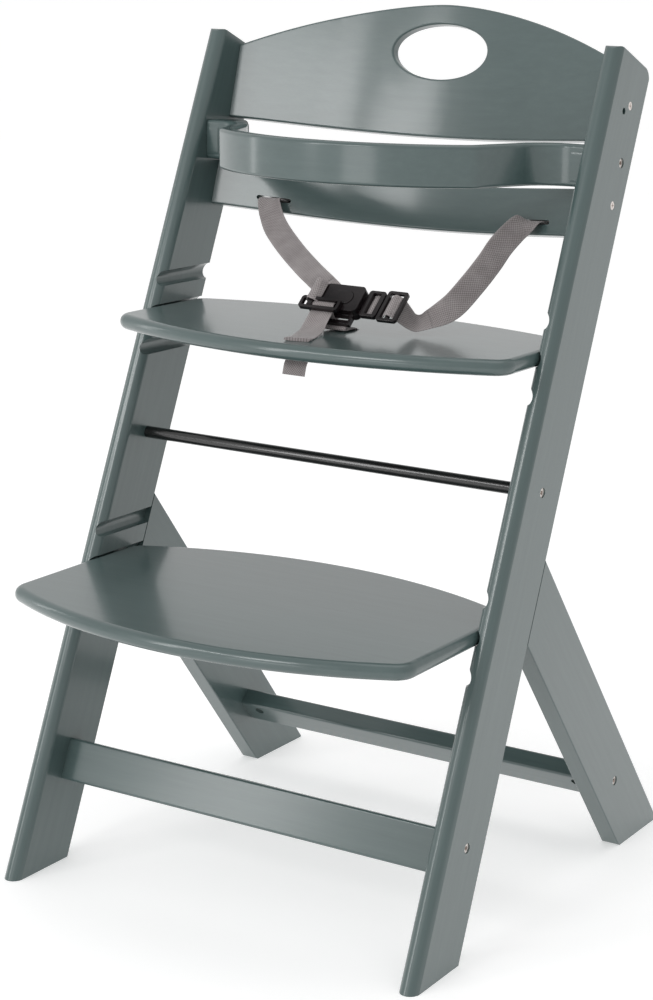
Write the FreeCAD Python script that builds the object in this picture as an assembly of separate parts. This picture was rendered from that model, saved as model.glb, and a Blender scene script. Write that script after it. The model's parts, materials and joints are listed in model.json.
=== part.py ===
import FreeCAD, Part
import math
import os

V = FreeCAD.Vector
X_AXIS = V(1, 0, 0)
Y_AXIS = V(0, 1, 0)
Z_AXIS = V(0, 0, 1)

os.makedirs("parts", exist_ok=True)

# A wooden step high chair. Millimetres, +Z up, the child looks along -Y.
# The origin lies on the floor under the middle of the chair.

# --- stance and boards ---
HALF_WIDTH = 235.0
BOARD = 19.5
INNER = HALF_WIDTH - BOARD
FRONT_Y = -224.0
EDGE = 1.2
FIT = 0.15

# --- leaning side posts ---
POST_LEAN = 22.9
POST_WIDTH = 72.5
POST_LENGTH = 879.0
NOSE_DEPTH = 8.0
TOP_REAR_R = 13.0
TOP_FRONT_R = 6.0

# --- grooves that carry the seat and the footrest ---
GROOVE_PITCH = 33.0
GROOVE_R = 7.7
GROOVE_DEPTH = 7.2
SEAT_GROOVE_Z = 529.9
FOOT_GROOVE_Z = 290.9

# --- rear legs ---
LEG_LEAN = 38.43
LEG_FLOOR_FRONT = 182.8
LEG_FLOOR_REAR = 272.9
LEG_CHAMFER = 1.5

# --- crossbars ---
FRONT_BAR_T = (105.7, 146.6)
FRONT_BAR_W = (31.0, 50.5)
REAR_BAR_CENTRE = (169.3, 69.9)
REAR_BAR_LONG = 34.0
REAR_BAR_THICK = 19.0
REAR_BAR_LEAN = 42.0
BAR_EDGE = 2.5

# --- tie rod under the seat ---
ROD_R = 6.0
ROD_Y = -11.2
ROD_Z = 410.2

# --- seat and footrest plates ---
PLATE_T = 15.0
PLATE_HALF = 219.5
PLATE_EDGE = 7.3
PLATE_DROP = 0.8
SEAT_FRONT = -105.0
SEAT_FRONT_R = 510.0
SEAT_REAR = 117.5
SEAT_REAR_R = 640.0
FOOT_FRONT = -272.0
FOOT_REAR = 22.5
FOOT_R = 463.0
PLATE_CORNER = 22.0

# --- backrests ---
BACK_T = 12.0
BACK_SIDE = INNER - 0.3
UPPER_FOOT = (128.4, 719.3)
UPPER_TILT = 15.5
UPPER_END = 76.0
UPPER_ARCH = 58.5
UPPER_ARCH_POWER = 1.73
BEND_CHORD = 125.0
BEND_R = 468.0
BEND_FLANK = 15.5
GRIP_LONG = 108.0
GRIP_HIGH = 56.0
GRIP_RISE = 86.5
LOWER_FOOT = (96.6, 632.5)
LOWER_TILT = 18.0
LOWER_HEIGHT = 46.0
BACK_EDGE = 2.0
STRAP_SLOT_X = (133.0, 169.0)
STRAP_SLOT_HIGH = 4.4
STRAP_SLOT_RISE = 10.3

# --- guard rail ---
GUARD_TOP = 717.6
GUARD_HIGH = 39.3
GUARD_T = 14.0
GUARD_FRONT = -34.8
GUARD_BOW_R = 212.0
GUARD_BOW_ANGLE = 40.0
GUARD_KNEE_R = 14.0
GUARD_KNEE_ANGLE = 28.0
GUARD_STRAIGHT = 52.0
GUARD_SHOULDER_R = 45.0
GUARD_BLOCK_Y = (89.0, 144.0)
GUARD_BLOCK_T = 14.2
GUARD_BLOCK_DROP = 2.0
GUARD_EDGE = 3.5

# --- fasteners, as (y, z) on the outer faces ---
UPPER_SCREW = (142.3, 752.1)
LOWER_SCREW = (111.9, 661.4)
GUARD_BOLT = (127.6, 699.8)
GUARD_SPARE = (128.7, 748.1)
SPARE_DEPTH = 12.0
FRONT_BOLT = (-135.8, 108.6)
REAR_BOLT = (166.6, 75.5)
ROD_BOLT = (ROD_Y, ROD_Z)
BOLT_HEAD_R = 4.6
BOLT_HEAD_T = 5.0
BOLT_SINK = 1.2
BOLT_R = 3.0
HEX_R = 2.3
BARREL_R = 5.0
BARREL_LONG = 14.0
BARREL_INSET = 20.0
SCREW_HEAD_R = 4.0
SCREW_R = 1.75
SCREW_LONG = 26.0
DOWEL_R = 4.0
DOWEL_LONG = 36.0
DOWEL_X = HALF_WIDTH - 6.5

# --- harness ---
WEB = 25.0
WEB_T = 1.6
BUCKLE_AT = (10.0, 0.5, 563.0)
BUCKLE_TILT = 48.0
BUCKLE_WIDE = 45.0
BUCKLE_HIGH = 30.0
BUCKLE_DEEP = 14.0
BUCKLE_WALL = 2.5
BUTTON_LONG = 26.0
BUTTON_HIGH = 15.5
TONGUE_T = 3.4
TONGUE_WIDE = 12.0
TONGUE_REACH = 8.0
WEB_BEHIND = 5.0
CROTCH_SLOT = (29.0, 4.5)
CROTCH_SLOT_Y = 5.5

TAN_LEAN = math.tan(math.radians(POST_LEAN))
SIN_LEAN = math.sin(math.radians(POST_LEAN))
COS_LEAN = math.cos(math.radians(POST_LEAN))
SEAT_TOP = SEAT_GROOVE_Z - PLATE_DROP + PLATE_T / 2
SIDES = (-1, 1)


# --- helpers ---
def on_post(x, along, across):
    """Point at a distance along a post and a depth behind its front line."""
    y = FRONT_Y + along * SIN_LEAN + across * COS_LEAN
    return V(x, y, along * COS_LEAN - across * SIN_LEAN)


def face_of(points):
    return Part.Face(Part.makePolygon(points + [points[0]]))


def box(x, y, z):
    """Box between two limits on each axis."""
    low = V(min(x), min(y), min(z))
    return Part.makeBox(max(x) - low.x, max(y) - low.y, max(z) - low.z, low)


def rounded_face(edges):
    return Part.Face(Part.Wire(Part.__sortEdges__(edges)))


def mirrored(shape):
    return shape.mirror(V(0, 0, 0), X_AXIS)


def rod(radius, start, end):
    axis = end.sub(start)
    return Part.makeCylinder(radius, axis.Length, start, axis)


def edges_along(shape, direction):
    """Straight edges of a shape that run in one direction."""
    found = []
    for edge in shape.Edges:
        if edge.Curve.TypeId != "Part::GeomLine":
            continue
        if abs(edge.Curve.Direction.dot(direction)) > 0.9999:
            found.append(edge)
    return found


def save(name, shapes):
    """Write one node; several solids go out as one group."""
    solids = [s for shape in shapes for s in shape.Solids]
    for solid in solids:
        if not solid.isValid() or solid.Volume <= 0:
            raise RuntimeError(name + " is not a sound solid")
    whole = solids[0] if len(solids) == 1 else Part.makeCompound(solids)
    whole.exportStep("parts/" + name + ".step")
    print(name, len(solids), whole.BoundBox)


# --- side posts and rear legs ---
def post_blank():
    """Post on the +X side: a bowed front edge, swept along the lean."""
    outer, inner, middle = HALF_WIDTH, INNER, HALF_WIDTH - BOARD / 2
    start, rear = -60.0, POST_WIDTH
    nose = Part.Arc(
        on_post(outer, start, NOSE_DEPTH),
        on_post(middle, start, 0),
        on_post(inner, start, NOSE_DEPTH),
    ).toShape()
    corners = [
        on_post(inner, start, NOSE_DEPTH),
        on_post(inner, start, rear - EDGE),
        on_post(inner + EDGE, start, rear),
        on_post(outer - EDGE, start, rear),
        on_post(outer, start, rear - EDGE),
        on_post(outer, start, NOSE_DEPTH),
    ]
    sides = [Part.makeLine(a, b) for a, b in zip(corners, corners[1:])]
    section = rounded_face([nose] + sides)
    length = on_post(0, POST_LENGTH, 0).sub(on_post(0, start, 0))
    blank = section.extrude(length)
    arrises = []
    for edge in edges_along(blank, V(0, SIN_LEAN, COS_LEAN)):
        middle = edge.CenterOfMass
        depth = (middle.y - FRONT_Y) * COS_LEAN - middle.z * SIN_LEAN
        if abs(depth - NOSE_DEPTH) < 0.1:
            arrises.append(edge)
    return blank.makeFillet(EDGE, arrises)


def post_side_view():
    """Side outline of a post, standing on the floor, with a softened top."""
    x, top, rear = INNER - 1, POST_LENGTH, POST_WIDTH
    half = math.sqrt(0.5)
    front_mid = on_post(x, top - TOP_FRONT_R * (1 - half), TOP_FRONT_R * (1 - half))
    rear_mid = on_post(x, top - TOP_REAR_R * (1 - half), rear - TOP_REAR_R * (1 - half))
    a = on_post(x, top - TOP_FRONT_R, 0)
    b = on_post(x, top, TOP_FRONT_R)
    c = on_post(x, top, rear - TOP_REAR_R)
    d = on_post(x, top - TOP_REAR_R, rear)
    front_floor = V(x, FRONT_Y, 0)
    rear_floor = V(x, FRONT_Y + rear / COS_LEAN, 0)
    edges = [
        Part.makeLine(front_floor, a),
        Part.Arc(a, front_mid, b).toShape(),
        Part.makeLine(b, c),
        Part.Arc(c, rear_mid, d).toShape(),
        Part.makeLine(d, rear_floor),
        Part.makeLine(rear_floor, front_floor),
    ]
    return rounded_face(edges).extrude(V(BOARD + 2, 0, 0))


def groove_cutter(z):
    """Round-bottomed groove that runs front to rear across a post."""
    y = FRONT_Y + z * TAN_LEAN
    reach = 1.5 * POST_WIDTH
    centre_x = INNER + GROOVE_DEPTH - GROOVE_R
    round_part = Part.makeCylinder(GROOVE_R, 2 * reach, V(centre_x, y - 30, z), Y_AXIS)
    mouth = box((INNER - 5, centre_x), (y - 30, y - 30 + 2 * reach), (z - GROOVE_R, z + GROOVE_R))
    return round_part.fuse(mouth)


def bolt_bore(place, reach):
    """Counterbored hole from the outer face inwards to x = reach."""
    y, z = place
    sink = BOLT_SINK + BOLT_HEAD_T
    head = rod(BOLT_HEAD_R + FIT, V(HALF_WIDTH + 1, y, z), V(HALF_WIDTH - sink, y, z))
    shank = rod(BOLT_R + FIT, V(HALF_WIDTH, y, z), V(reach, y, z))
    return head.fuse(shank)


def screw_bore(place, reach):
    """Countersunk hole from the outer face inwards to x = reach."""
    y, z = place
    cone = Part.makeCone(
        SCREW_HEAD_R + FIT, SCREW_R + FIT, SCREW_HEAD_R, V(HALF_WIDTH, y, z), V(-1, 0, 0)
    )
    shank = rod(SCREW_R + FIT, V(HALF_WIDTH, y, z), V(reach, y, z))
    return cone.fuse(shank)


def leg_joint_points():
    """Where the leg's rear and front edges meet the rear edge of the post."""
    post_rear = FRONT_Y + POST_WIDTH / COS_LEAN
    slope = math.tan(math.radians(LEG_LEAN))
    z_rear = (LEG_FLOOR_REAR - post_rear) / (TAN_LEAN + slope)
    z_front = (LEG_FLOOR_FRONT - post_rear) / (TAN_LEAN + slope)
    rear = (LEG_FLOOR_REAR - slope * z_rear, z_rear)
    front = (LEG_FLOOR_FRONT - slope * z_front, z_front)
    return front, rear


def leg_blank():
    front, rear = leg_joint_points()
    slope = math.tan(math.radians(LEG_LEAN))
    outline = [
        V(INNER, LEG_FLOOR_FRONT + LEG_CHAMFER, 0),
        V(INNER, LEG_FLOOR_REAR - LEG_CHAMFER * (1 + slope), 0),
        V(INNER, LEG_FLOOR_REAR - LEG_CHAMFER * slope, LEG_CHAMFER),
        V(INNER, rear[0], rear[1]),
        V(INNER, front[0], front[1]),
        V(INNER, LEG_FLOOR_FRONT - LEG_CHAMFER * slope, LEG_CHAMFER),
    ]
    blank = face_of(outline).extrude(V(BOARD, 0, 0))
    down = V(0, math.sin(math.radians(LEG_LEAN)), -math.cos(math.radians(LEG_LEAN)))
    return blank.makeFillet(EDGE, edges_along(blank, down))


def dowel_ends():
    """Middle points of the two dowels that pin a leg to its post."""
    front, rear = leg_joint_points()
    places = []
    for share in (0.28, 0.72):
        y = front[0] + share * (rear[0] - front[0])
        z = front[1] + share * (rear[1] - front[1])
        places.append(V(DOWEL_X, y, z))
    return places


def dowels(radius, length):
    across = V(0, COS_LEAN, -SIN_LEAN)
    shapes = []
    for middle in dowel_ends():
        start = middle.sub(across * (length / 2))
        shapes.append(Part.makeCylinder(radius, length, start, across))
    return shapes


def side_post():
    post = post_blank().common(post_side_view())
    for base in (SEAT_GROOVE_Z, FOOT_GROOVE_Z):
        for step in (-1, 0, 1):
            post = post.cut(groove_cutter(base + step * GROOVE_PITCH))
    for place in (GUARD_BOLT, ROD_BOLT, FRONT_BOLT):
        post = post.cut(bolt_bore(place, INNER - 1))
    y, z = GUARD_SPARE
    post = post.cut(rod(BOLT_R + FIT, V(HALF_WIDTH - SPARE_DEPTH, y, z), V(HALF_WIDTH + 1, y, z)))
    for place in (UPPER_SCREW, LOWER_SCREW):
        post = post.cut(screw_bore(place, INNER - 1))
    for hole in dowels(DOWEL_R + FIT / 2, DOWEL_LONG + 1):
        post = post.cut(hole)
    return post


def rear_leg():
    leg = leg_blank().cut(bolt_bore(REAR_BOLT, INNER - 1))
    for hole in dowels(DOWEL_R + FIT / 2, DOWEL_LONG + 1):
        leg = leg.cut(hole)
    return leg


# --- crossbars, tie rod and their fasteners ---
def bolt(place, tip):
    """Socket-head bolt on the +X side with its tip at x = tip."""
    y, z = place
    top = HALF_WIDTH - BOLT_SINK
    under = top - BOLT_HEAD_T + FIT
    head = rod(BOLT_HEAD_R, V(under, y, z), V(top, y, z))
    socket = [
        V(top + 1, y + HEX_R * math.cos(math.radians(a)), z + HEX_R * math.sin(math.radians(a)))
        for a in range(0, 360, 60)
    ]
    head = head.cut(face_of(socket).extrude(V(-3.8, 0, 0)))
    return head.fuse(rod(BOLT_R, V(under + 0.5, y, z), V(tip, y, z))).removeSplitter()


def bar_bores(bar, place, normal):
    """Bolt hole and cross hole for a barrel nut in each end of a crossbar."""
    y, z = place
    reach = INNER - BARREL_INSET - 12
    for side in SIDES:
        bar = bar.cut(rod(BOLT_R + FIT, V(side * (INNER + 1), y, z), V(side * reach, y, z)))
        centre = V(side * (INNER - BARREL_INSET), y, z)
        start = centre.sub(normal * (BARREL_LONG / 2 + 0.3))
        bar = bar.cut(rod(BARREL_R + FIT, start, centre.add(normal * 30)))
    return bar


def barrel(place, normal, side):
    """Barrel nut: a short cross pin with a hole for the bolt."""
    y, z = place
    centre = V(side * (INNER - BARREL_INSET), y, z)
    half = normal * (BARREL_LONG / 2)
    nut = rod(BARREL_R, centre.sub(half), centre.add(half))
    hole = rod(BOLT_R + FIT, centre.sub(X_AXIS * 9), centre.add(X_AXIS * 9))
    return nut.cut(hole)


def crossbar(corners):
    """Bar between the side frames from its section corners at the -X end."""
    blank = face_of(corners).extrude(V(-2 * corners[0].x, 0, 0))
    return blank.makeFillet(BAR_EDGE, edges_along(blank, X_AXIS))


def front_crossbar():
    t, w = FRONT_BAR_T, FRONT_BAR_W
    x = -INNER
    corners = [on_post(x, t[0], w[0]), on_post(x, t[1], w[0])]
    corners += [on_post(x, t[1], w[1]), on_post(x, t[0], w[1])]
    return bar_bores(crossbar(corners), FRONT_BOLT, V(0, COS_LEAN, -SIN_LEAN))


def rear_bar_frame():
    lean = math.radians(REAR_BAR_LEAN)
    down = V(0, math.sin(lean), -math.cos(lean))
    face = V(0, -math.cos(lean), -math.sin(lean))
    return down, face


def rear_crossbar():
    down, face = rear_bar_frame()
    centre = V(-INNER, REAR_BAR_CENTRE[0], REAR_BAR_CENTRE[1])
    corners = []
    for a, b in ((-1, -1), (-1, 1), (1, 1), (1, -1)):
        offset = down * (a * REAR_BAR_LONG / 2) + face * (b * REAR_BAR_THICK / 2)
        corners.append(centre.add(offset))
    return bar_bores(crossbar(corners), REAR_BOLT, face)


def tie_rod():
    bar = rod(ROD_R, V(-INNER, ROD_Y, ROD_Z), V(INNER, ROD_Y, ROD_Z))
    for side in SIDES:
        mouth = V(side * (INNER + 1), ROD_Y, ROD_Z)
        bar = bar.cut(rod(BOLT_R + FIT, mouth, V(side * (INNER - 26), ROD_Y, ROD_Z)))
    return bar


# --- seat and footrest ---
def bow(half, crest, radius, bulge):
    """Arc across the chair; bulge +1 swells to the rear, -1 to the front."""
    sag = radius - math.sqrt(radius * radius - half * half)
    end_y = crest - bulge * sag
    arc = Part.Arc(V(-half, end_y, 0), V(0, crest, 0), V(half, end_y, 0)).toShape()
    return arc, end_y


def plate(front, front_r, rear, rear_r, top, corner):
    """Board with bowed front and rear edges and rounded edges all round."""
    front_arc, front_y = bow(PLATE_HALF, front, front_r, -1)
    rear_arc, rear_y = bow(PLATE_HALF, rear, rear_r, 1)
    left = Part.makeLine(V(-PLATE_HALF, front_y, 0), V(-PLATE_HALF, rear_y, 0))
    right = Part.makeLine(V(PLATE_HALF, front_y, 0), V(PLATE_HALF, rear_y, 0))
    outline = rounded_face([front_arc, right, rear_arc, left])
    outline.translate(V(0, 0, top - PLATE_T))
    board = outline.extrude(V(0, 0, PLATE_T))
    board = board.makeFillet(corner, edges_along(board, Z_AXIS))
    rims = [e for e in board.Edges if e.BoundBox.ZLength < 0.01]
    return board.makeFillet(PLATE_EDGE, rims)


def seat_plate():
    board = plate(SEAT_FRONT, SEAT_FRONT_R, SEAT_REAR, SEAT_REAR_R, SEAT_TOP, PLATE_CORNER)
    long, wide = CROTCH_SLOT
    x, y = BUCKLE_AT[0], CROTCH_SLOT_Y
    slot = box((x - long / 2, x + long / 2), (y - wide / 2, y + wide / 2), (SEAT_TOP - 20, SEAT_TOP + 5))
    slot = slot.makeFillet(wide / 2 - 0.1, edges_along(slot, Z_AXIS))
    return board.cut(slot)


def footrest_plate():
    top = FOOT_GROOVE_Z - PLATE_DROP + PLATE_T / 2
    return plate(FOOT_FRONT, FOOT_R, FOOT_REAR, FOOT_R, top, PLATE_CORNER)


# --- backrests ---
def tilt_frame(angle):
    a = math.radians(angle)
    return V(0, math.sin(a), math.cos(a)), V(0, math.cos(a), -math.sin(a))


def backrest_plan(shift):
    """Plan line of both backrests, set back by a shift: flank, arc, flank."""
    flank = math.radians(BEND_FLANK)
    sag = BEND_R - math.sqrt(BEND_R ** 2 - BEND_CHORD ** 2)
    crest = (INNER - BEND_CHORD) * math.tan(flank) + sag
    centre_y = crest - BEND_R
    radius = BEND_R + shift
    end_x = radius * BEND_CHORD / BEND_R
    end_y = centre_y + math.sqrt(radius ** 2 - end_x ** 2)
    side_x = INNER + 5
    side_y = end_y - (side_x - end_x) * math.tan(flank)
    arc = Part.Arc(V(-end_x, end_y, 0), V(0, centre_y + radius, 0), V(end_x, end_y, 0)).toShape()
    lines = [Part.makeLine(V(s * end_x, end_y, 0), V(s * side_x, side_y, 0)) for s in SIDES]
    return [arc] + lines, side_x, side_y


def bent_sheet(foot, tilt, height):
    """Plan band drawn up along the tilt of a backrest."""
    front, side_x, front_y = backrest_plan(0)
    rear, rear_x, rear_y = backrest_plan(BACK_T)
    caps = [Part.makeLine(V(s * side_x, front_y, 0), V(s * rear_x, rear_y, 0)) for s in SIDES]
    band = rounded_face(front + rear + caps)
    up, back = tilt_frame(tilt)
    band.translate(V(0, foot[0], foot[1]).sub(up * 40))
    return band.extrude(up * (height + 80))


def through_panel(edges, foot, tilt):
    """Outline drawn in the plane of a backrest, as a cutter through it."""
    up, back = tilt_frame(tilt)
    outline = rounded_face(edges)
    outline.rotate(V(0, 0, 0), X_AXIS, 90 - tilt)
    outline.translate(V(0, foot[0], foot[1]).sub(back * 40))
    return outline.extrude(back * 160)


def polyline(points):
    return [Part.makeLine(a, b) for a, b in zip(points, points[1:])]


def soft_rims(panel):
    """Round the long edges and the grip's edges of a backrest."""
    rims = [e for e in panel.Edges if e.Length > BACK_SIDE / 2]
    return panel.makeFillet(BACK_EDGE, rims)


def arch_outline():
    """Straight bottom, upright ends and a domed top edge."""
    steps = 24
    crown = []
    for i in range(steps + 1):
        u = 2 * i / steps - 1
        rise = UPPER_END + UPPER_ARCH * (1 - abs(u) ** UPPER_ARCH_POWER)
        crown.append(V(-u * BACK_SIDE, rise, 0))
    top = Part.BSplineCurve()
    top.interpolate(crown)
    a, b = V(-BACK_SIDE, 0, 0), V(BACK_SIDE, 0, 0)
    return [top.toShape()] + polyline([crown[-1], a, b, crown[0]])


def upper_backrest():
    panel = bent_sheet(UPPER_FOOT, UPPER_TILT, UPPER_END + UPPER_ARCH)
    panel = panel.common(through_panel(arch_outline(), UPPER_FOOT, UPPER_TILT))
    grip = Part.Ellipse(V(0, GRIP_RISE, 0), GRIP_LONG / 2, GRIP_HIGH / 2).toShape()
    panel = panel.cut(through_panel([grip], UPPER_FOOT, UPPER_TILT))
    return pilot_holes(soft_rims(panel), UPPER_SCREW)


def slot_outline(side):
    low, high = STRAP_SLOT_X
    r = STRAP_SLOT_HIGH / 2
    y = STRAP_SLOT_RISE + r
    a, b = side * (low + r), side * (high - r)
    out = 1 if b > a else -1
    return [
        Part.makeLine(V(a, y - r, 0), V(b, y - r, 0)),
        Part.Arc(V(b, y - r, 0), V(b + out * r, y, 0), V(b, y + r, 0)).toShape(),
        Part.makeLine(V(b, y + r, 0), V(a, y + r, 0)),
        Part.Arc(V(a, y + r, 0), V(a - out * r, y, 0), V(a, y - r, 0)).toShape(),
    ]


def lower_backrest():
    panel = bent_sheet(LOWER_FOOT, LOWER_TILT, LOWER_HEIGHT)
    a, b = V(-BACK_SIDE, 0, 0), V(BACK_SIDE, 0, 0)
    c, d = V(BACK_SIDE, LOWER_HEIGHT, 0), V(-BACK_SIDE, LOWER_HEIGHT, 0)
    panel = panel.common(through_panel(polyline([a, b, c, d, a]), LOWER_FOOT, LOWER_TILT))
    panel = soft_rims(panel)
    for side in SIDES:
        panel = panel.cut(through_panel(slot_outline(side), LOWER_FOOT, LOWER_TILT))
    return pilot_holes(panel, LOWER_SCREW)


def pilot_holes(panel, place):
    y, z = place
    reach = HALF_WIDTH - SCREW_LONG - 1
    for side in SIDES:
        panel = panel.cut(rod(SCREW_R + FIT, V(side * (INNER + 1), y, z), V(side * reach, y, z)))
    return panel


def screw(place):
    """Cross-head countersunk screw on the +X side."""
    y, z = place
    top = HALF_WIDTH - 0.2
    head = Part.makeCone(SCREW_HEAD_R, SCREW_R, SCREW_HEAD_R - SCREW_R, V(top, y, z), V(-1, 0, 0))
    shank = rod(SCREW_R, V(top - 1, y, z), V(HALF_WIDTH - SCREW_LONG, y, z))
    body = head.fuse(shank)
    for half_y, half_z in ((2.4, 0.5), (0.5, 2.4)):
        body = body.cut(box((top - 1.2, top + 1), (y - half_y, y + half_y), (z - half_z, z + half_z)))
    return body


# --- guard rail ---
def walk(offset):
    """Edges of one side of the guard's band, from its middle to the +X post."""
    x, y, heading = 0.0, GUARD_FRONT, 0.0
    turns = (
        (GUARD_BOW_R, GUARD_BOW_ANGLE),
        (GUARD_KNEE_R, GUARD_KNEE_ANGLE),
        (None, GUARD_STRAIGHT),
        (-GUARD_SHOULDER_R, GUARD_BOW_ANGLE + GUARD_KNEE_ANGLE),
        (None, INNER - 0.5 - 201.5),
    )
    edges = []
    for radius, amount in turns:
        if radius is None:
            c, s = math.cos(heading), math.sin(heading)
            shift = V(-s * offset, c * offset, 0)
            start = V(x, y, 0).add(shift)
            x, y = x + amount * c, y + amount * s
            edges.append(Part.makeLine(start, V(x, y, 0).add(shift)))
            continue
        cx, cy = x - radius * math.sin(heading), y + radius * math.cos(heading)
        swing = math.radians(amount) * (1 if radius > 0 else -1)
        spots = []
        for share in (0, 0.5, 1):
            a = heading + share * swing
            reach = radius - offset
            spots.append(V(cx + reach * math.sin(a), cy - reach * math.cos(a), 0))
        edges.append(Part.Arc(*spots).toShape())
        heading += swing
        x, y = cx + radius * math.sin(heading), cy - radius * math.cos(heading)
    return edges


def guard_rail():
    outer, inner = walk(-GUARD_T / 2), walk(GUARD_T / 2)
    caps = [
        Part.makeLine(outer[0].Vertexes[0].Point, inner[0].Vertexes[0].Point),
        Part.makeLine(outer[-1].Vertexes[-1].Point, inner[-1].Vertexes[-1].Point),
    ]
    band = rounded_face(outer + inner + caps)
    band.translate(V(0, 0, GUARD_TOP - GUARD_HIGH))
    half = band.extrude(V(0, 0, GUARD_HIGH))
    flat_rims = [e for e in half.Edges if e.BoundBox.ZLength < 0.01]
    long_rims = [e for e in flat_rims if abs(e.Length - GUARD_T) > 0.01]
    half = half.makeFillet(GUARD_EDGE, long_rims)
    low = GUARD_TOP - GUARD_HIGH
    x = (INNER - GUARD_BLOCK_T, INNER - 0.3)
    block = box(x, GUARD_BLOCK_Y, (low, GUARD_TOP - GUARD_BLOCK_DROP))
    block = block.makeFillet(8.0, edges_along(block, X_AXIS))
    half = half.fuse(block)
    y, z = GUARD_BOLT
    half = half.cut(rod(BOLT_R + 1.5 + FIT, V(INNER + 1, y, z), V(INNER - 11, y, z)))
    return half.fuse(mirrored(half)).removeSplitter()


def guard_nut():
    """Threaded insert in the end of the guard rail."""
    y, z = GUARD_BOLT
    sleeve = rod(BOLT_R + 1.5, V(INNER - 0.5, y, z), V(INNER - 10.5, y, z))
    return sleeve.cut(rod(BOLT_R + FIT, V(INNER + 1, y, z), V(INNER - 12, y, z)))


# --- harness ---
def buckle_place(shape):
    """Tilt a piece drawn upright at the origin and set it above the seat."""
    placed = shape.copy()
    placed.rotate(V(0, 0, 0), X_AXIS, -BUCKLE_TILT)
    placed.translate(V(*BUCKLE_AT))
    return placed


def pill(long, high, y0, y1):
    """Oval plug along Y, centred on the origin."""
    solid = box((-long / 2, long / 2), (y0, y1), (-high / 2, high / 2))
    return solid.makeFillet(high / 2 - 0.05, edges_along(solid, Y_AXIS))


def buckle_half(y0, y1):
    w, h = BUCKLE_WIDE / 2, BUCKLE_HIGH / 2
    shell = box((-w, w), (y0, y1), (-h, h))
    shell = shell.makeFillet(5.0, edges_along(shell, Y_AXIS))
    depth = BUCKLE_DEEP / 2 - BUCKLE_WALL
    cavity = box((-w + BUCKLE_WALL, w - BUCKLE_WALL), (-depth, depth), (-9.5, 9.5))
    gate_z, gate_y = TONGUE_WIDE / 2 + 0.5, TONGUE_T / 2 + 0.4
    gate = box((-w - 1, w + 1), (-gate_y, gate_y), (-gate_z, gate_z))
    return shell.cut(cavity).cut(gate)


def buckle_cover():
    half = buckle_half(-BUCKLE_DEEP / 2, 0)
    return half.cut(pill(BUTTON_LONG + 0.8, BUTTON_HIGH + 0.8, -BUCKLE_DEEP, 0))


def buckle_base():
    """Rear half with the loop that the crotch strap is sewn round."""
    half = buckle_half(0, BUCKLE_DEEP / 2)
    low = -BUCKLE_HIGH / 2
    loop = box((-17, 17), (1, 6), (low - 10, low + 1))
    loop = loop.cut(box((-14, 14), (0, 7), (low - 6, low - 0.5)))
    return half.fuse(loop).removeSplitter()


def release_button():
    face = pill(BUTTON_LONG, BUTTON_HIGH, -BUCKLE_DEEP / 2 - 0.8, -3.6)
    flange = pill(BUTTON_LONG + 4, BUTTON_HIGH + 3, -4.3, -3.3)
    return face.fuse(flange).removeSplitter()


def ring(x, z, thick, bars):
    """Flat frame in the XZ plane, with bars along Z that leave slots between."""
    plate_body = box(x, (-thick / 2, thick / 2), z)
    plate_body = plate_body.makeFillet(3.0, edges_along(plate_body, Y_AXIS))
    for left, right in zip(bars, bars[1:]):
        slot = box((left + 1.6, right - 1.6), (-thick, thick), (z[0] + 3, z[1] - 3))
        plate_body = plate_body.cut(slot)
    return plate_body


def tongue_right():
    """Tongue in the buckle, with the frame that holds the webbing."""
    w = BUCKLE_WIDE / 2
    y, z = TONGUE_T / 2, TONGUE_WIDE / 2
    blade = box((w - TONGUE_REACH, w + 4), (-y, y), (-z, z))
    frame = ring((w + 1.5, w + 20), (-15.5, 15.5), 5.0, (w + 5, w + 17))
    return blade.fuse(frame).removeSplitter()


def tongue_left():
    """Tongue with an adjuster that lies in front of the buckle's lower edge."""
    w = BUCKLE_WIDE / 2
    y, z = TONGUE_T / 2, TONGUE_WIDE / 2
    blade = box((-w - 4, TONGUE_REACH - w), (-y, y), (-z, z))
    neck = box((-w - 8, -w - 2.5), (-11.5, y), (-16, z))
    neck = neck.makeFillet(1.2, edges_along(neck, Z_AXIS))
    adjuster = ring((6, 20), (-38, 6), 4.0, (7.6, 18.4))
    adjuster.rotate(V(0, 0, 0), Y_AXIS, 90)
    adjuster.translate(V(0, -9.8, 0))
    return blade.fuse([neck, adjuster]).removeSplitter()


def strap_slider():
    w = BUCKLE_WIDE / 2
    return ring((w + 21, w + 43), (-18, 18), 4.0, (w + 23, w + 32, w + 41))


def ribbon(stations):
    """Webbing through (centre, width direction) stations, ruled between them."""
    wires = []
    for i, (centre, across) in enumerate(stations):
        behind = stations[max(i - 1, 0)][0]
        ahead = stations[min(i + 1, len(stations) - 1)][0]
        along = ahead.sub(behind).normalize()
        side = across.sub(along * along.dot(across)).normalize()
        normal = along.cross(side).normalize()
        corners = []
        for a, b in ((-1, -1), (1, -1), (1, 1), (-1, 1)):
            corners.append(centre.add(side * (a * WEB / 2)).add(normal * (b * WEB_T / 2)))
        wires.append(Part.makePolygon(corners + [corners[0]]))
    return Part.makeLoft(wires, True, True)


def band_yz(points, x):
    """Webbing of constant width along X that follows a line in a YZ plane."""
    left, right = [], []
    for i, p in enumerate(points):
        behind, ahead = points[max(i - 1, 0)], points[min(i + 1, len(points) - 1)]
        into, out = p.sub(behind), ahead.sub(p)
        into = into.normalize() if into.Length > 0 else out
        out = out.normalize() if out.Length > 0 else into
        along = into.normalize().add(out.normalize()).normalize()
        normal = V(0, -along.z, along.y)
        reach = WEB_T / 2 / max(along.dot(into.normalize()), 0.5)
        left.append(p.add(normal * reach))
        right.append(p.sub(normal * reach))
    outline = face_of(left + right[::-1])
    outline.translate(V(x - WEB / 2, 0, 0))
    return outline.extrude(V(WEB, 0, 0))


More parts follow.
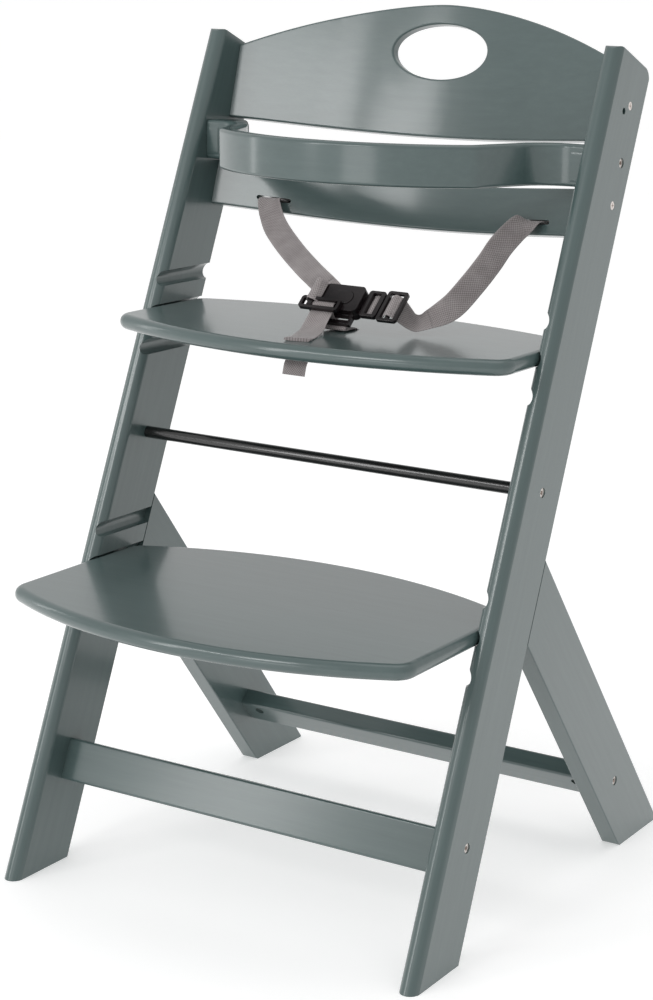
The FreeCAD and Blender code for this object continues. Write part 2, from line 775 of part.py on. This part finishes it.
def crotch_strap():
    """Up through the seat and round the loop of the buckle, with a tail below."""
    tilt = math.radians(BUCKLE_TILT)
    up = V(0, math.sin(tilt), math.cos(tilt))
    out = V(0, -math.cos(tilt), math.sin(tilt))
    x, y0, z0 = BUCKLE_AT
    loop = V(0, y0, z0).sub(up * 19.0)
    bend = [loop.add(out * -7.4), loop.add(up * 1.6).add(out * -7.4)]
    under = SEAT_TOP - PLATE_T - 1.8
    line = [
        V(0, SEAT_FRONT + 22, under - 15),
        V(0, SEAT_FRONT + 26, under - 3),
        V(0, SEAT_FRONT + 32, under),
        V(0, CROTCH_SLOT_Y - 6, under),
        V(0, CROTCH_SLOT_Y - 1, under - 0.2),
        V(0, CROTCH_SLOT_Y, under + 2.5),
        V(0, CROTCH_SLOT_Y, SEAT_TOP + 2),
        bend[0].sub(up * 9),
        bend[0],
        bend[1],
    ]
    return band_yz(line, x)


def crotch_stop():
    """Flat stop that keeps the crotch strap from pulling up through the seat."""
    x, top = BUCKLE_AT[0], SEAT_TOP - PLATE_T - 3.2
    y = CROTCH_SLOT_Y - 22
    plate_body = box((x - 20, x + 20), (y - 9, y + 9), (top - 3, top))
    return plate_body.makeFillet(4.0, edges_along(plate_body, Z_AXIS))


def waist_strap(side):
    """Webbing from behind the lower backrest to the harness by the buckle."""
    tilt = math.radians(BUCKLE_TILT)
    leaning = V(0, math.sin(tilt), math.cos(tilt))
    x0 = BUCKLE_AT[0]
    y0 = BUCKLE_AT[1] + WEB_BEHIND * math.cos(tilt)
    z0 = BUCKLE_AT[2] - WEB_BEHIND * math.sin(tilt)
    if side < 0:
        stations = [
            (V(-151, 136, 632.6), X_AXIS),
            (V(-151, 125, 636.2), X_AXIS),
            (V(-151, 114, 639.8), X_AXIS),
            (V(-150, 106, 640.5), X_AXIS),
            (V(-147, 102, 635), X_AXIS),
            (V(-118, 81, 611), V(1, 0, 0.25)),
            (V(-58, 36, 587.5), V(1, 0.1, 0.4)),
            (V(-20, 1, 580), V(1, 0, 0.1)),
            (V(-8, -9, 575.5), X_AXIS),
        ]
    else:
        stations = [
            (V(151, 136, 632.6), X_AXIS),
            (V(151, 125, 636.2), X_AXIS),
            (V(149, 114, 639.8), X_AXIS),
            (V(146, 106, 640.5), V(1, 0.1, -0.1)),
            (V(138, 96, 631), V(0.9, 0.2, -0.3)),
            (V(126, 74, 608), V(0.8, 0.3, -0.5)),
            (V(117, 50, 584), V(0.8, 0.3, -0.5)),
            (V(105, 30, 563), V(0.7, -0.1, -0.6)),
            (V(90, 15, 553), V(0.3, -0.8, -0.5)),
            (V(x0 + 62, y0, z0), leaning * -1),
            (V(x0 + 50, y0, z0), leaning * -1),
            (V(x0 + 26, y0, z0), leaning * -1),
        ]
    return ribbon(stations)


def strap_stop():
    """Bar behind the lower backrest that the webbing is sewn round."""
    bar = box((133, 169), (136.4, 140.4), (626.5, 638.5))
    return bar.makeFillet(1.5, edges_along(bar, X_AXIS))


# --- write every node ---
post, leg = side_post(), rear_leg()
save("side_post_right", [post])
save("side_post_left", [mirrored(post)])
save("rear_leg_right", [leg])
save("rear_leg_left", [mirrored(leg)])
pins = dowels(DOWEL_R, DOWEL_LONG)
save("leg_dowels", pins + [mirrored(p) for p in pins])

save("front_crossbar", [front_crossbar()])
save("rear_crossbar", [rear_crossbar()])
save("tie_rod", [tie_rod()])

bar_bolts = [bolt(FRONT_BOLT, INNER - 29), bolt(REAR_BOLT, INNER - 29)]
save("crossbar_bolts", bar_bolts + [mirrored(b) for b in bar_bolts])
front_normal = V(0, COS_LEAN, -SIN_LEAN)
rear_normal = rear_bar_frame()[1]
save("front_barrel_nuts", [barrel(FRONT_BOLT, front_normal, side) for side in SIDES])
save("rear_barrel_nuts", [barrel(REAR_BOLT, rear_normal, side) for side in SIDES])
rod_bolt = bolt(ROD_BOLT, INNER - 22)
save("tie_rod_bolts", [rod_bolt, mirrored(rod_bolt)])

save("backrest_upper", [upper_backrest()])
save("backrest_lower", [lower_backrest()])
screws = [screw(UPPER_SCREW), screw(LOWER_SCREW)]
save("backrest_screws", screws + [mirrored(s) for s in screws])

save("seat_plate", [seat_plate()])
save("footrest_plate", [footrest_plate()])

save("guard_rail", [guard_rail()])
guard_bolt = bolt(GUARD_BOLT, INNER - 9)
save("guard_bolts", [guard_bolt, mirrored(guard_bolt)])
save("guard_inserts", [guard_nut(), mirrored(guard_nut())])

save("buckle_base", [buckle_place(buckle_base())])
save("buckle_cover", [buckle_place(buckle_cover())])
save("release_button", [buckle_place(release_button())])
save("tongue_left", [buckle_place(tongue_left())])
save("tongue_right", [buckle_place(tongue_right())])
save("strap_slider", [buckle_place(strap_slider())])
save("crotch_strap", [crotch_strap()])
save("crotch_strap_stop", [crotch_stop()])
save("waist_strap_left", [waist_strap(-1)])
save("waist_strap_right", [waist_strap(1)])
save("strap_stops", [strap_stop(), mirrored(strap_stop())])
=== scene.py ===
import json
import math
import bmesh
import bpy
import numpy as np
from mathutils import Matrix, Vector


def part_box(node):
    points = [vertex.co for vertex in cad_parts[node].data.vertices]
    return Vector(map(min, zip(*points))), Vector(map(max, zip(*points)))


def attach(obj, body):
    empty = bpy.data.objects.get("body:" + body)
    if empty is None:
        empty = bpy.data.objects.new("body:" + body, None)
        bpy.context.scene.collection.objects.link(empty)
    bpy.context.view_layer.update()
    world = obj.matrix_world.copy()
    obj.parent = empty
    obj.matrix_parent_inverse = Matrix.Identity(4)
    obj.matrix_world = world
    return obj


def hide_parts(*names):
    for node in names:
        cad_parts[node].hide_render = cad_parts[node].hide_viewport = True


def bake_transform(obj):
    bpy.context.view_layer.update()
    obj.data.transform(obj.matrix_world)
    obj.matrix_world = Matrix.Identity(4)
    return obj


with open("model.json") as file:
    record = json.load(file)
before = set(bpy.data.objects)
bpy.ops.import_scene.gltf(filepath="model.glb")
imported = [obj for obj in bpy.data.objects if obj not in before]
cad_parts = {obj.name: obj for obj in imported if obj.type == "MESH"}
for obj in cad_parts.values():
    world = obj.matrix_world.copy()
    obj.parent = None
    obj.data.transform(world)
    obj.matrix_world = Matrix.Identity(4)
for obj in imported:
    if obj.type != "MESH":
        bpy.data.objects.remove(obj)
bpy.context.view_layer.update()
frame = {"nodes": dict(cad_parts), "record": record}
nodes = frame["nodes"]
TAU = 2 * math.pi
MM = 0.001

# ---------------------------------------------------------------- camera
EYE = Vector((1.1428, -1.7628, 0.8898))
YAW, PITCH, ROLL = (math.radians(a) for a in (30.2391, 12.3636, 1.1939))
LENS, SHIFT_X, SHIFT_Y = 80.17, -0.1098, -0.0604


def place_camera():
    """A long lens at the front right, just above the chair's top, tipped down."""
    ahead = Vector((-math.sin(YAW) * math.cos(PITCH), math.cos(YAW) * math.cos(PITCH), -math.sin(PITCH)))
    right = Vector((math.cos(YAW), math.sin(YAW), 0))
    up = right.cross(ahead)
    right_rolled = right * math.cos(ROLL) + up * math.sin(ROLL)
    up_rolled = up * math.cos(ROLL) - right * math.sin(ROLL)
    turn = Matrix((right_rolled, up_rolled, -ahead)).transposed()
    data = bpy.data.cameras.new("camera")
    data.lens, data.shift_x, data.shift_y = LENS, SHIFT_X, SHIFT_Y
    data.clip_start, data.clip_end = 0.05, 100
    camera = bpy.data.objects.new("camera", data)
    camera.matrix_world = Matrix.Translation(EYE) @ turn.to_4x4()
    bpy.context.scene.collection.objects.link(camera)
    bpy.context.scene.camera = camera


place_camera()


# ---------------------------------------------------------------- node maths
class Wire:
    """A socket that adds up in Python: each operator adds its Math node."""

    def __init__(self, paint, socket):
        self.paint, self.socket = paint, socket

    def maths(self, operation, *others):
        """This socket and the others through one Math node."""
        return self.paint.node("ShaderNodeMath", {"operation": operation}, (self, *others))

    def __add__(self, other):
        return self.maths("ADD", other)

    def __sub__(self, other):
        return self.maths("SUBTRACT", other)

    def __mul__(self, other):
        return self.maths("MULTIPLY", other)

    def __rsub__(self, other):
        return self.paint.value(other).maths("SUBTRACT", self)

    def wave(self, period):
        """Runs smoothly from 0 to 1 and back once in each period."""
        return (self * (TAU / period)).maths("SINE") * 0.5 + 0.5


class Paint:
    """One finish: its nodes, and the shader that they feed."""

    def __init__(self, name, **constants):
        self.material = bpy.data.materials.new(name)
        self.material.use_nodes = True
        self.tree = self.material.node_tree
        self.shader = self.tree.nodes["Principled BSDF"]
        for socket, value in constants.items():
            self.shader.inputs[socket.replace("_", " ")].default_value = value

    def node(self, kind, settings, inputs, output=0):
        """Any node: its settings first, then a value or a wire for each socket."""
        made = self.tree.nodes.new(kind)
        for name, value in settings.items():
            if name == "stops":
                self._stops(made.color_ramp, value)
            else:
                setattr(made, name, value)
        sockets = inputs.items() if isinstance(inputs, dict) else enumerate(inputs)
        for key, value in sockets:
            if isinstance(value, Wire):
                self.tree.links.new(value.socket, made.inputs[key])
            else:
                made.inputs[key].default_value = value
        return Wire(self, made.outputs[output])

    def _stops(self, ramp, stops):
        while len(ramp.elements) < len(stops):
            ramp.elements.new(0.5)
        for element, (place, colour) in zip(ramp.elements, stops):
            element.position, element.color = place, (*colour, 1)

    def value(self, number):
        """A plain number as a wire."""
        return self.node("ShaderNodeMath", {"operation": "ADD"}, (number, 0.0))

    def place(self, scale=(1, 1, 1), turn=(0, 0, 0)):
        """Coordinates of the piece, turned and then scaled."""
        where = self.node("ShaderNodeTexCoord", {}, {}, "Object")
        turned = self.node("ShaderNodeMapping", {}, {"Vector": where, "Rotation": turn})
        return self.node("ShaderNodeMapping", {}, {"Vector": turned, "Scale": scale})

    def noise(self, where, scale, detail=3.0, rough=0.5):
        sockets = {"Vector": where, "Scale": scale, "Detail": detail, "Roughness": rough}
        return self.node("ShaderNodeTexNoise", {}, sockets)

    def ramp(self, factor, *stops):
        return self.node("ShaderNodeValToRGB", {"stops": stops}, (factor,))

    def feed(self, socket, wire):
        self.tree.links.new(wire.socket, self.shader.inputs[socket])

    def bump(self, height, distance, strength=1.0):
        sockets = {"Height": height, "Distance": distance, "Strength": strength}
        self.feed("Normal", self.node("ShaderNodeBump", {}, sockets))


def grey(value):
    return (value, value, value)


def painted_wood(name, turn=(0, 0, 0)):
    """Sage gloss paint brushed over beech; the grain runs along Z once turned."""
    paint = Paint(name, Specular_IOR_Level=0.5, Coat_Roughness=0.16, Coat_IOR=1.5)
    along = paint.place(scale=(1, 1, 0.05), turn=turn)
    plain = paint.place()
    pores = paint.noise(along, 900, 4, 0.6)
    grain = paint.noise(along, 170, 3, 0.5)
    cloud = paint.noise(plain, 7, 3)
    peel = paint.noise(plain, 1100, 2)
    tone = grain * 0.4 + cloud * 0.35 + pores * 0.25
    dark, middle, light = (0.052, 0.086, 0.084), (0.062, 0.100, 0.098), (0.076, 0.118, 0.115)
    paint.feed("Base Color", paint.ramp(tone, (0.3, dark), (0.5, middle), (0.72, light)))
    paint.feed("Roughness", cloud * 0.1 + pores * 0.08 + 0.3)
    paint.feed("Coat Weight", cloud * 0.1 + 0.9)
    paint.bump(grain * 0.55 + pores * 0.3 + peel * 0.15, 0.0002, 0.3)
    return paint.material


def black_plastic(name):
    """Moulded black plastic with a fine spark texture and soft gloss."""
    paint = Paint(name, Specular_IOR_Level=0.5)
    plain = paint.place()
    spark = paint.noise(plain, 2200, 2)
    smear = paint.noise(plain, 60, 3)
    colour = paint.ramp(smear, (0.3, (0.006, 0.004, 0.005)), (0.7, (0.013, 0.009, 0.010)))
    paint.feed("Base Color", colour)
    paint.feed("Roughness", smear * 0.16 + spark * 0.06 + 0.12)
    paint.bump(spark, 0.00006, 0.4)
    return paint.material


def black_coat(name):
    """Black gloss powder coat with a slight orange peel."""
    paint = Paint(name, Specular_IOR_Level=0.5, Coat_Roughness=0.06)
    plain = paint.place()
    peel = paint.noise(plain, 420, 2)
    smear = paint.noise(plain, 30, 2)
    paint.feed("Base Color", paint.ramp(smear, (0.3, grey(0.006)), (0.7, grey(0.012))))
    paint.feed("Roughness", smear * 0.12 + 0.16)
    paint.feed("Coat Weight", peel * 0.2 + 0.5)
    paint.bump(peel, 0.00008, 0.3)
    return paint.material


def nickel(name):
    """Warm nickel plate with fine turning marks and duller patches."""
    paint = Paint(name, Metallic=1.0)
    streak = paint.noise(paint.place(scale=(0.1, 1, 1)), 2600, 3)
    patch = paint.noise(paint.place(), 240, 3)
    paint.feed("Base Color", paint.ramp(patch, (0.3, (0.66, 0.60, 0.57)), (0.7, (0.88, 0.82, 0.78))))
    paint.feed("Roughness", patch * 0.2 + streak * 0.15 + 0.26)
    paint.bump(streak, 0.00003, 0.5)
    return paint.material


def raw_beech(name):
    """Unpainted turned beech with short dark flecks."""
    paint = Paint(name, Roughness=0.6)
    fleck = paint.noise(paint.place(scale=(1, 1, 0.1)), 700, 3)
    paint.feed("Base Color", paint.ramp(fleck, (0.35, (0.42, 0.26, 0.14)), (0.7, (0.60, 0.42, 0.26))))
    paint.bump(fleck, 0.0002, 0.5)
    return paint.material


WEAVE_PITCH, WEAVE_SLANT, SELVEDGE_FROM = 0.0024, 0.9, 0.0105


def woven(name):
    """Warm grey webbing: two sets of slanting ribs that cross, on the strap's
    own map in metres, with a denser selvedge along both edges."""
    paint = Paint(name, Specular_IOR_Level=0.25, Sheen_Weight=0.3, Sheen_Roughness=0.45)
    where = paint.node("ShaderNodeTexCoord", {}, {}, "UV")
    across = paint.node("ShaderNodeSeparateXYZ", {}, (where,), 0)
    along = paint.node("ShaderNodeSeparateXYZ", {}, (where,), 1)
    rib = (along + across * WEAVE_SLANT).wave(WEAVE_PITCH)
    pick = (along - across * WEAVE_SLANT).wave(WEAVE_PITCH)
    hem = (across.maths("ABSOLUTE") - SELVEDGE_FROM).maths("GREATER_THAN", 0)
    hair = paint.noise(where, 2600, 3)
    dirt = paint.noise(where, 45, 3)
    height = (rib * 0.45 + pick * 0.4) * (1 - hem * 0.5) + hair * 0.15 + hem * 0.3
    tone = height * 0.6 + dirt * 0.4
    dark, middle, light = (0.14, 0.122, 0.122), (0.29, 0.262, 0.262), (0.45, 0.415, 0.415)
    paint.feed("Base Color", paint.ramp(tone, (0.2, dark), (0.5, middle), (0.8, light)))
    paint.feed("Roughness", 0.85 - height * 0.15)
    paint.bump(height, 0.0005, 0.9)
    return paint.material


POST_LEAN = math.radians(22.9)
LEG_LEAN = math.radians(38.43)
BAR_GRAIN = (0, math.pi / 2, 0)
post_wood = painted_wood("sage_paint_posts", (POST_LEAN, 0, 0))
leg_wood = painted_wood("sage_paint_legs", (-LEG_LEAN, 0, 0))
bar_wood = painted_wood("sage_paint_boards", BAR_GRAIN)
plastic = black_plastic("black_moulding")
coat = black_coat("black_coat")
plate_metal = nickel("warm_nickel")
beech = raw_beech("raw_beech")
web = woven("grey_webbing")

FINISH = {
    "side_post_left": post_wood, "side_post_right": post_wood,
    "rear_leg_left": leg_wood, "rear_leg_right": leg_wood,
    "leg_dowels": beech, "tie_rod": coat,
    "waist_strap_left": web, "waist_strap_right": web, "crotch_strap": web,
}
BY_SLOT = {"wood": bar_wood, "steel": plate_metal, "black_plastic": plastic}


def finish_nodes():
    """Every carried-over part takes its own finish, or else that of its slot."""
    for part in frame["record"]["subparts"]:
        name = part["node"]
        obj = nodes[name]
        material = FINISH.get(name) or BY_SLOT[part["material_slot"]]
        obj.data.materials.clear()
        obj.data.materials.append(material)


finish_nodes()


# ---------------------------------------------------------------- harness
WEB_WIDE, WEB_THICK = 0.025, 0.0016
WEB_SQUARE, WEB_FLAT = 0.35, 0.7
WEB_SIDES = 20
STEPS = 10
BUCKLE_AT = np.array((10.0, 0.5, 563.0))
BUCKLE_TILT = math.radians(48)
SEAT_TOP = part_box("seat_plate")[1].z / MM
LEAN_UP = np.array((0, math.sin(BUCKLE_TILT), math.cos(BUCKLE_TILT)))
LEAN_BACK = np.array((0, math.cos(BUCKLE_TILT), -math.sin(BUCKLE_TILT)))


def by_buckle(x, back, up):
    """Millimetre point beside the buckle, on the buckle's own tilted axes."""
    return BUCKLE_AT + np.array((x, 0, 0)) + LEAN_BACK * back + LEAN_UP * up


def unit(rows):
    return rows / np.linalg.norm(rows, axis=-1, keepdims=True)


def smooth_line(points):
    """Catmull-Rom curve: cubic pieces whose slope at a point is half the step
    between its two neighbours, sampled evenly inside each piece."""
    p = np.array(points, float)
    p = np.vstack((2 * p[0] - p[1], p, 2 * p[-1] - p[-2]))
    t = (np.arange(STEPS) / STEPS)[:, None]
    a, b, c, d = p[:-3, None], p[1:-2, None], p[2:-1, None], p[3:, None]
    square, cube = 2 * a - 5 * b + 4 * c - d, 3 * b - a - 3 * c + d
    line = 0.5 * (2 * b + (c - a) * t + square * t ** 2 + cube * t ** 3)
    return np.vstack((line.reshape(-1, p.shape[1]), p[-2]))


def shown(name, mesh):
    """An object for a mesh that already stands in its place."""
    obj = bpy.data.objects.new(name, mesh)
    bpy.context.scene.collection.objects.link(obj)
    return obj


def closed_solid(name, rings, uv):
    """A mesh from rings[i, j]: ring i around the section, joined to ring i + 1
    by quads and closed by one face at each end, with its faces outward."""
    count, around = rings.shape[:2]
    i, j = np.meshgrid(np.arange(count - 1), np.arange(around), indexing="ij")
    here, beside = i * around + j, i * around + (j + 1) % around
    quads = np.stack((here, here + around, beside + around, beside), -1)
    last = (count - 1) * around
    ends = [list(range(around)), list(range(last + around - 1, last - 1, -1))]
    mesh = bpy.data.meshes.new(name)
    mesh.from_pydata(rings.reshape(-1, 3).tolist(), [], quads.reshape(-1, 4).tolist() + ends)
    layer = mesh.uv_layers.new(name="strap")
    corner = np.zeros(len(mesh.loops), int)
    mesh.loops.foreach_get("vertex_index", corner)
    layer.data.foreach_set("uv", uv.reshape(-1, 2)[corner].ravel())
    shape = bmesh.new()
    shape.from_mesh(mesh)
    bmesh.ops.recalc_face_normals(shape, faces=shape.faces)
    shape.to_mesh(mesh)
    shape.free()
    mesh.polygons.foreach_set("use_smooth", [len(face.vertices) == 4 for face in mesh.polygons])
    mesh.materials.append(web)
    return shown(name, mesh)


def strap_rings(stations, hem=0):
    """Webbing carried along a line: at each sample a flat oval of the webbing's
    width and thickness, doubled over the last hem millimetres."""
    route = smooth_line([(*centre, *across) for centre, across in stations])
    centre, across = route[:, :3] * MM, route[:, 3:]
    along = unit(np.gradient(centre, axis=0))
    across = unit(across - along * (across * along).sum(1, keepdims=True))
    normal = np.cross(along, across)
    length = np.concatenate(([0], np.cumsum(np.linalg.norm(np.diff(centre, axis=0), axis=1))))
    turn = np.linspace(0, TAU, WEB_SIDES, endpoint=False)
    wide = np.sign(np.cos(turn)) * np.abs(np.cos(turn)) ** WEB_SQUARE * WEB_WIDE / 2
    thick = np.sign(np.sin(turn)) * np.abs(np.sin(turn)) ** WEB_FLAT * WEB_THICK / 2
    double = 1 + np.clip((length - length[-1] + hem * MM) / MM, 0, 1) * (hem > 0)
    sideways = across[:, None] * wide[None, :, None]
    outward = normal[:, None] * (thick[None, :, None] * double[:, None, None])
    rings = centre[:, None] + sideways + outward
    uv = np.stack(np.broadcast_arrays(wide[None, :], length[:, None]), -1)
    return rings, uv


def webbing(name, rings, uv, node):
    """One length of webbing in place of the CAD strap."""
    obj = closed_solid(name, rings, uv)
    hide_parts(node)
    return obj


X = (1, 0, 0)
FOLD = -LEAN_UP
LEFT_ROUTE = [
    ((-151, 136, 632.6), X), ((-151, 125, 636.2), X), ((-151, 114.5, 639.8), X),
    ((-150, 107, 639.3), X), ((-145, 101, 631), X), ((-128.5, 88, 615), (1, 0.1, 0.1)),
    ((-95.4, 66, 598), (1, 0.2, 0.2)), ((-58.8, 42, 584.2), (1, 0.2, 0.2)),
    ((-27.4, 24, 572.9), (1, 0.2, 0.15)), (by_buckle(-16, 9.8, 8), X),
    (by_buckle(-14, 9, -4), X), (by_buckle(-14, 7.6, -14), X), (by_buckle(-13.5, 3, -19), X),
    (by_buckle(-13.5, -3.2, -18.4), X), (by_buckle(-13.6, -6.6, -14.6), X),
]
TAIL_ROUTE = [
    (by_buckle(-14, -7.7, -9), X), (by_buckle(-14, -8.8, -12), X), (by_buckle(-13.6, -8, -15.6), X),
    (by_buckle(-13.2, -6, -18.6), X), (by_buckle(-12.4, -6.8, -23), X), ((-1.5, -31, 545), X),
    ((1, -41, 540), (1, 0.05, 0)), ((4, -54, SEAT_TOP + 1.2), (1, 0.1, 0)),
    ((8, -68, SEAT_TOP + 0.9), (1, 0.12, 0)), ((12.5, -82.5, SEAT_TOP + 1.8), (1, 0.12, 0)),
]
LOOP_ROUTE = [
    (by_buckle(-21, 3.5, 3), FOLD), (by_buckle(-29, 3.5, 3), FOLD), (by_buckle(-33, 0, 3), FOLD),
    (by_buckle(-33.6, -8, 3), FOLD), (by_buckle(-30.5, -12.8, 3), FOLD), (by_buckle(-25.5, -13, 2), FOLD),
    (by_buckle(-22.6, -10.6, 2), FOLD), (by_buckle(-20.5, -8, 2), FOLD),
]
SLANT = (0.76, 0.29, -0.56)
RIGHT_ROUTE = [
    ((151, 136, 632.6), X), ((151, 125, 636.2), X), ((149.5, 114.5, 639.8), X),
    ((146, 107.5, 638.5), (1, 0.1, -0.2)), ((139, 101, 632), (0.9, 0.2, -0.35)),
    ((130.7, 88, 617.5), (0.8, 0.28, -0.5)), ((126, 74, 602), SLANT), ((118.1, 56, 582.5), SLANT),
    ((107, 38, 562.7), (0.7, 0.1, -0.6)), ((90.4, 26, 551.1), (0.55, -0.5, -0.5)),
    ((79, 19, 547.6), (0.3, -0.77, -0.45)), (by_buckle(61.5, 2.6, 0), FOLD), (by_buckle(58, -1.5, 0), FOLD),
    (by_buckle(54.5, -3.3, 0), FOLD), (by_buckle(51, -1.5, 0), FOLD), (by_buckle(47.5, 2.4, 0), FOLD),
    (by_buckle(43, 3.8, 0), FOLD), (by_buckle(37, 2.4, 0), FOLD), (by_buckle(33.5, 1, 0), FOLD),
    (by_buckle(30, 2.4, 0), FOLD), (by_buckle(26, 4, 0), FOLD),
]
SEAT_THICK, UNDER_GAP = 15, 1.8
UNDER = SEAT_TOP - SEAT_THICK - UNDER_GAP
CROTCH_ROUTE = [
    ((10, -84, UNDER - 15), X), ((10, -80, UNDER - 4), X), ((10, -72, UNDER), X), ((10, -40, UNDER), X),
    ((10, -4, UNDER), X), ((10, 4.5, UNDER + 1), X), ((10, 5.5, UNDER + 8), X),
    ((10, 5.5, SEAT_TOP + 1), X),
    (by_buckle(0, 7.4, -28), X), (by_buckle(0, 7.4, -19), X), (by_buckle(0, 7, -16.5), X),
]
LEFT_CUT, RIGHT_CUT = 8, 9
TAIL_HEM = 11


def waist_straps():
    """Each waist strap is drawn in two lengths that meet where it nears the seat,
    and the left one has a loop and a loose tail as well."""
    for side, route, station in (("left", LEFT_ROUTE, LEFT_CUT), ("right", RIGHT_ROUTE, RIGHT_CUT)):
        rings, uv = strap_rings(route)
        cut = station * STEPS
        line = rings.mean(1)
        upper = webbing(f"waist_strap_{side}_upper", rings[:cut + 1], uv[:cut + 1], f"waist_strap_{side}")
        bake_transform(upper)
        lower = webbing(f"waist_strap_{side}_lower", rings[cut:], uv[cut:], f"waist_strap_{side}")
        tuple(line[cut + 2 * STEPS])
        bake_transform(lower)
    loose = (("waist_strap_tail", TAIL_ROUTE, TAIL_HEM), ("waist_strap_loop", LOOP_ROUTE, 0))
    for name, route, hem in loose:
        rings, uv = strap_rings(route, hem)
        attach(webbing(name, rings, uv, "waist_strap_left"), "left_tongue")


def crotch_strap():
    """The crotch strap rides on the seat that it passes through."""
    rings, uv = strap_rings(CROTCH_ROUTE)
    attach(webbing("crotch_strap_webbing", rings, uv, "crotch_strap"), "seat")


MERGE, FLAT_WITHIN, EDGE_FROM = 1e-6, math.radians(1), math.radians(35)


def softened(name, body, width):
    """A moulded part: the CAD node's own faces, joined up and with rounded edges."""
    shape = bmesh.new()
    shape.from_mesh(nodes[name].data)
    bmesh.ops.remove_doubles(shape, verts=shape.verts, dist=MERGE)
    bmesh.ops.dissolve_limit(shape, angle_limit=FLAT_WITHIN, verts=shape.verts, edges=shape.edges)
    mesh = bpy.data.meshes.new(name + "_moulded")
    shape.to_mesh(mesh)
    shape.free()
    mesh.polygons.foreach_set("use_smooth", [True] * len(mesh.polygons))
    mesh.materials.append(plastic)
    obj = shown(name + "_moulded", mesh)
    edge = obj.modifiers.new("edge", "BEVEL")
    edge.width, edge.segments = width, 3
    edge.limit_method, edge.angle_limit = "ANGLE", EDGE_FROM
    obj.modifiers.new("normals", "WEIGHTED_NORMAL").keep_sharp = True
    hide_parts(name)
    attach(obj, body)


waist_straps()
crotch_strap()
softened("buckle_base", "seat", 0.0008)
softened("buckle_cover", "seat", 0.001)
softened("release_button", "button", 0.0009)
softened("tongue_left", "left_tongue", 0.0007)
softened("tongue_right", "right_tongue", 0.0007)
softened("strap_slider", "right_tongue", 0.0007)
softened("crotch_strap_stop", "seat", 0.0007)
softened("strap_stops", "frame", 0.0007)


# ---------------------------------------------------------------- light and floor
def light_panel(name, at, aim, size, radiance):
    """Soft rectangular lamp facing its aim; watts = radiance * pi * area."""
    data = bpy.data.lights.new(name, "AREA")
    data.shape, data.size, data.size_y = "RECTANGLE", *size
    data.energy = radiance * math.pi * size[0] * size[1]
    lamp = bpy.data.objects.new(name, data)
    facing = (Vector(at) - Vector(aim)).to_track_quat("Z", "Y").to_matrix().to_4x4()
    lamp.matrix_world = Matrix.Translation(Vector(at)) @ facing
    lamp.visible_camera = False
    bpy.context.scene.collection.objects.link(lamp)


FLOOR_REACH, WORLD_GLOW = 45, 0.7


def pale_floor():
    """Pale matt floor with a slight glow, out to the horizon."""
    mesh = bpy.data.meshes.new("floor")
    corners = [(x * FLOOR_REACH, y * FLOOR_REACH, 0) for x, y in ((-1, -1), (1, -1), (1, 1), (-1, 1))]
    mesh.from_pydata(corners, [], [(0, 1, 2, 3)])
    paint = Paint("pale_floor", Roughness=0.7, Emission_Color=(1, 1, 1, 1), Emission_Strength=0.42)
    cloud = paint.noise(paint.place(), 1.5, 2)
    paint.feed("Base Color", paint.ramp(cloud, (0.3, grey(0.81)), (0.7, grey(0.83))))
    mesh.materials.append(paint.material)
    floor = shown("floor", mesh)
    floor.visible_diffuse = False


def studio():
    """Bright surroundings, with soft panels in front, at the side and above."""
    world = bpy.data.worlds.new("surroundings")
    world.use_nodes = True
    sky = world.node_tree.nodes["Background"]
    sky.inputs["Color"].default_value = (1, 1, 1, 1)
    sky.inputs["Strength"].default_value = WORLD_GLOW
    bpy.context.scene.world = world
    light_panel("front_wide", (-0.45, -2.8, 1.9), (0, 0, 0.7), (0.7, 0.8), 7)
    light_panel("front_strip", (-1.72, -2.65, 1.4), (0, 0, 0.65), (0.34, 1.8), 6)
    light_panel("front_high", (-1.2, -2.6, 1.95), (0.22, -0.05, 0.45), (0.5, 0.26), 9)
    light_panel("front_low", (-0.3, -2.9, 0.45), (0.1, 0, 0.6), (0.9, 0.6), 2.2)
    light_panel("left_strip", (-2.9, -0.8, 1.0), (0, 0, 0.6), (0.2, 1.4), 3.5)
    light_panel("overhead", (0.3, 0.2, 3.0), (0, 0, 0.4), (1.6, 1.6), 0.7)


pale_floor()
studio()
bpy.context.scene.view_settings.view_transform = "Standard"
